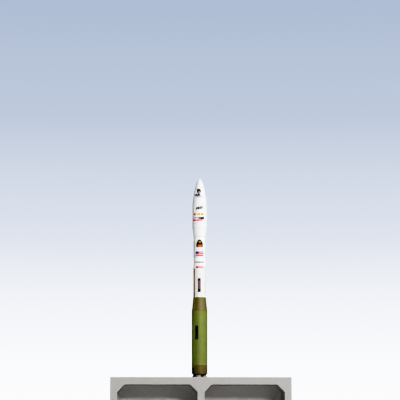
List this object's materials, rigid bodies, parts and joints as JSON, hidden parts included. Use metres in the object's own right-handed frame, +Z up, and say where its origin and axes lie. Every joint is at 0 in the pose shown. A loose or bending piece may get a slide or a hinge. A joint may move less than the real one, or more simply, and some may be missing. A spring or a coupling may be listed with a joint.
{
  "type": "display model of a space rocket on a plinth",
  "caption": "Small-scale static display model of a slim multi-stage space rocket, standing upright on a pale grey plinth with open pockets.",
  "frame": {"origin": "on the surface under the plinth, at the centre of its footprint and under the rocket's axis", "axes": "+Z up along the rocket's axis to its nose, +X to the right along the plinth's long front, +Y to the back"},
  "size_m": [0.132, 0.066, 0.1988],
  "materials": {
    "plinth_grey": "matt light grey paint",
    "rocket_white": "satin white paint",
    "stage_green": "satin olive green paint",
    "interstage_brown": "satin olive brown paint, slightly mottled",
    "skirt_brown": "dark olive brown paint, mottled",
    "raceway_khaki": "matt khaki paint",
    "nozzle_tan": "matt cream paint",
    "base_black": "matt black paint"
  },
  "bodies": {
    "root": {"plinth_base": "plinth_grey", "plinth_deck": "plinth_grey", "plinth_wall_left": "plinth_grey", "plinth_wall_middle": "plinth_grey", "plinth_wall_right": "plinth_grey", "plinth_back_panel_left": "plinth_grey", "plinth_back_panel_right": "plinth_grey", "nozzle_front": "nozzle_tan", "nozzle_right": "nozzle_tan", "nozzle_rear": "nozzle_tan", "nozzle_left": "nozzle_tan", "base_closure": "base_black", "aft_skirt": "skirt_brown", "stage1_motor_case": "stage_green", "raceway_foot": "base_black", "stage1_raceway": "stage_green", "interstage_1_2": "interstage_brown", "interstage_raceway": "interstage_brown", "stage2_motor_case": "rocket_white", "stage2_raceway": "raceway_khaki", "stage2_raceway_cap": "rocket_white", "interstage_2_3": "rocket_white", "stage3_motor_case": "rocket_white", "stage3_raceway": "rocket_white", "fairing_boat_tail": "rocket_white", "fairing_base_ring": "rocket_white", "fairing_barrel": "rocket_white", "fairing_nose": "rocket_white", "plinth_haunch_left_top_west": "plinth_grey", "plinth_haunch_left_top_east": "plinth_grey", "plinth_haunch_left_foot_west": "plinth_grey", "plinth_haunch_left_foot_east": "plinth_grey", "plinth_haunch_right_top_west": "plinth_grey", "plinth_haunch_right_top_east": "plinth_grey", "plinth_haunch_right_foot_west": "plinth_grey", "plinth_haunch_right_foot_east": "plinth_grey"}
  },
  "joints": []
}
